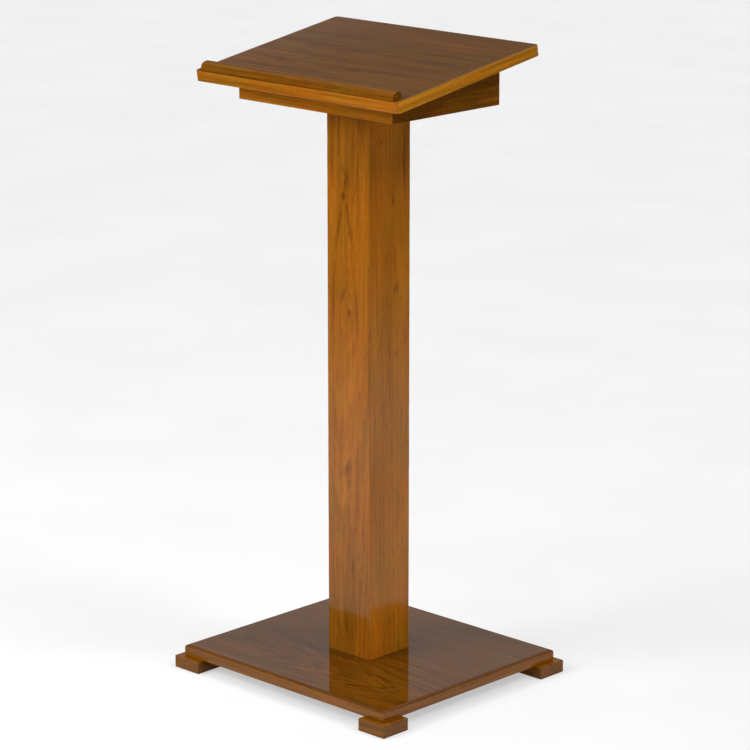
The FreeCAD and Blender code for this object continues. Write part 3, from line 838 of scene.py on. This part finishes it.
# the veneer's fade is painted light: the desk top paler towards its front edge
desk_veneer = wood_material(
    "oak veneer desk", desk_x, desk_z, on_desk(0.0, 0.02, -0.075),
    VENEER_PALE, VENEER_DARK, tilt=-0.8, ring=0.0052, taper=0.05, contrast=0.6,
    streak_share=0.22, fleck_share=0.22, ray_tint=VENEER_RAY, marks=desk_streaks,
    painted_light_fades=((1, -0.15, 0.02, 1.12, 1.0),),
)
dress(nodes["desk_panel"], desk_veneer)

ledge_low, ledge_high = local_box(["book_ledge"], DESK)
piece = ledge("book_ledge_oak", ledge_low, ledge_high, 10 * MM, 4 * MM, DESK)
stand_for(piece, "book_ledge")
# the ledge's darker cap is painted shade, which flattens the light on its rounded top
dress(
    piece,
    wood_material(
        "oak book ledge", desk_x, desk_z, on_desk(0.0, ledge_low.y + 0.03, -0.03),
        (0.154, 0.055, 0.0029), (0.082, 0.0247, 0.0010), tilt=0.5, ring=0.0030, contrast=0.5,
        gloss=0.6, cap=(0.78, 0.80, 0.85),
    ),
)

# Inside wood and screws

bare = dict(
    pale=BARE_PALE, dark=BARE_DARK, ring=0.0040, pore_share=0.1, ray_share=0.0, varnish=False
)
inner = wood_material("plain wood", (1, 0, 0), (0, 0, 1), (0, 0.02, 0.85), **bare)
inner_upright = wood_material("plain wood upright", (0, 0, 1), (0, -1, 0), (0.01, 0.03, 0), **bare)
for name in ("cleat_left", "cleat_right"):
    dress(nodes[name], inner)
head_veneer = wood_material(
    "oak veneer head plate", (1, 0.02, 0), (0, 0, -1), (0, 0.03, 1.03),
    VENEER_PALE, VENEER_DARK, ring=0.0050, taper=0.05, streak_share=0.3,
    ray_tint=VENEER_RAY,
)
dress(nodes["head_plate"], head_veneer)
for name in ["column_bottom_block", "column_top_block"] + [f"corner_block_{c}" for c in CORNERS]:
    dress(nodes[name], inner_upright)
steel = steel_material()
for name in nodes:
    if name.endswith("_screws"):
        dress(nodes[name], steel)

# Stage: floor, reflection flags, light, camera


def stage_plane(name, corners, material):
    mesh = bpy.data.meshes.new(name)
    mesh.from_pydata([tuple(c) for c in corners], [], [(0, 1, 2, 3)])
    plane = bpy.data.objects.new(name, mesh)
    bpy.context.scene.collection.objects.link(plane)
    plane.data.materials.append(material)
    plane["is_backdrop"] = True
    return plane


def floor_material():
    material, t = new_material("pale floor")
    where = t.add("ShaderNodeTexCoord").outputs["Object"]
    grey = t.ramp(t.noise(where, (3, 3, 3), 2.0), 0.3, 0.7, 0.29, 0.31)
    colour = t.add("ShaderNodeCombineColor", grey, grey, grey).outputs[0]
    lit = t.add("ShaderNodeBsdfDiffuse", colour)
    ray = t.add("ShaderNodeLightPath").outputs
    strength = t.ramp(ray["Is Camera Ray"], 0.0, 1.0, 0.30, 0.50)
    strength = t.math("MULTIPLY", strength, t.math("MULTIPLY_ADD", ray["Is Glossy Ray"], -0.8, 1.0))
    glow = t.add("ShaderNodeEmission", (1, 1, 1, 1), strength)
    both = t.add("ShaderNodeAddShader", lit.outputs[0], glow.outputs[0])
    t.add("ShaderNodeOutputMaterial", both.outputs[0])
    return material


def flag_material():
    """Pale at the foot and black higher up."""
    material, t = new_material("flag")
    where = t.add("ShaderNodeTexCoord").outputs["Object"]
    height = t.add("ShaderNodeSeparateXYZ", where).outputs[2]
    glow = t.add("ShaderNodeEmission", (1, 1, 1, 1), t.ramp(height, -0.06, 0.42, 0.62, 0.02))
    t.add("ShaderNodeOutputMaterial", glow.outputs[0])
    return material


FLOOR_HALF = 45.0
stage_plane(
    "floor",
    [(sx * FLOOR_HALF, sy * FLOOR_HALF, 0) for sx, sy in ((-1, -1), (1, -1), (1, 1), (-1, 1))],
    floor_material(),
)
flag = flag_material()
FLAG_AWAY, FLAG_HALF, FLAG_HEIGHT = 1.45, 1.1, 1.9
FLAG_FOOT = 1 * MM
# one card towards the camera and one to each side of it, for reflections only
for n, azimuth in enumerate((45, 125, 325)):
    a = math.radians(azimuth)
    centre = Vector((math.sin(a), -math.cos(a), 0)) * FLAG_AWAY
    across = Vector((math.cos(a), math.sin(a), 0)) * FLAG_HALF
    up = Vector((0, 0, FLAG_HEIGHT))
    foot = Vector((0, 0, FLAG_FOOT))
    left, right = centre - across, centre + across
    corners = (left + foot, right + foot, right + up, left + up)
    card = stage_plane(f"flag_{n}", corners, flag)
    card.visible_camera = card.visible_diffuse = card.visible_shadow = False


def sun(name, azimuth, elevation, strength, angle):
    """A far soft light. Azimuth 0 comes from -Y and 90 from +X."""
    lamp = bpy.data.lights.new(name, "SUN")
    lamp.energy = strength
    lamp.angle = math.radians(angle)
    light = bpy.data.objects.new(name, lamp)
    a, e = math.radians(azimuth), math.radians(elevation)
    back = Vector((math.sin(a) * math.cos(e), -math.cos(a) * math.cos(e), math.sin(e)))
    light.rotation_euler = back.to_track_quat("Z", "Y").to_euler()
    bpy.context.scene.collection.objects.link(light)


def softbox(name, azimuth, away, height, size, power, aim):
    """A square soft light at a place on a circle round the object, aimed at a height."""
    lamp = bpy.data.lights.new(name, "AREA")
    lamp.size = size
    lamp.energy = power
    light = bpy.data.objects.new(name, lamp)
    a = math.radians(azimuth)
    light.location = (math.sin(a) * away, -math.cos(a) * away, height)
    light.rotation_euler = (light.location - Vector((0, 0, aim))).to_track_quat("Z", "Y").to_euler()
    light.visible_camera = False
    bpy.context.scene.collection.objects.link(light)


softbox("key", azimuth=338, away=2.3, height=1.85, size=1.2, power=62, aim=0.7)
sun("front", azimuth=350, elevation=52, strength=0.9, angle=40)
sun("side", azimuth=106, elevation=50, strength=2.0, angle=26)
sun("top", azimuth=200, elevation=78, strength=0.6, angle=70)


def studio():
    """Bright low down, dim at mid height, soft light from above.

    A stop's place is the sine of the height above the horizon.
    """
    world = bpy.data.worlds.new("studio")
    world.use_nodes = True
    world.node_tree.nodes.clear()
    t = Tree(world.node_tree)
    up = t.add("ShaderNodeSeparateXYZ", t.add("ShaderNodeTexCoord").outputs["Generated"]).outputs[2]
    ramp = t.add("ShaderNodeValToRGB", up)
    stops = (
        (0.0, 0.72), (0.075, 0.72), (0.15, 0.38), (0.345, 0.38), (0.372, 0.12), (0.44, 0.14),
        (0.50, 0.08), (0.8, 0.45),
    )
    while len(ramp.color_ramp.elements) < len(stops):
        ramp.color_ramp.elements.new(0.5)
    for element, (place, grey) in zip(ramp.color_ramp.elements, stops):
        element.position = place
        element.color = (grey, grey, grey, 1)
    sky = t.add("ShaderNodeBackground", ramp.outputs[0], 1.0)
    t.add("ShaderNodeOutputWorld", sky.outputs[0])
    bpy.context.scene.world = world


studio()


def camera(azimuth, away, aside, height, down, lens):
    """Looks at the object from azimuth, at its real distance, tipped down, with no shift."""
    a = math.radians(azimuth)
    data = bpy.data.cameras.new("camera")
    data.sensor_width = 36.0
    data.lens = lens
    data.clip_start, data.clip_end = 0.1, 200.0
    made = bpy.data.objects.new("camera", data)
    made.location = (
        math.sin(a) * away + math.cos(a) * aside,
        -math.cos(a) * away + math.sin(a) * aside,
        height,
    )
    made.rotation_euler = (math.radians(90 - down), 0, a)
    bpy.context.scene.collection.objects.link(made)
    bpy.context.scene.camera = made


camera(azimuth=43.968, away=4.984, aside=0.01026, height=1.8071, down=14.644, lens=152.54)

view = bpy.context.scene.view_settings
view.view_transform = "Standard"
view.look = "None"
view.exposure = 0.0
view.gamma = 1.0

low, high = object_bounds()
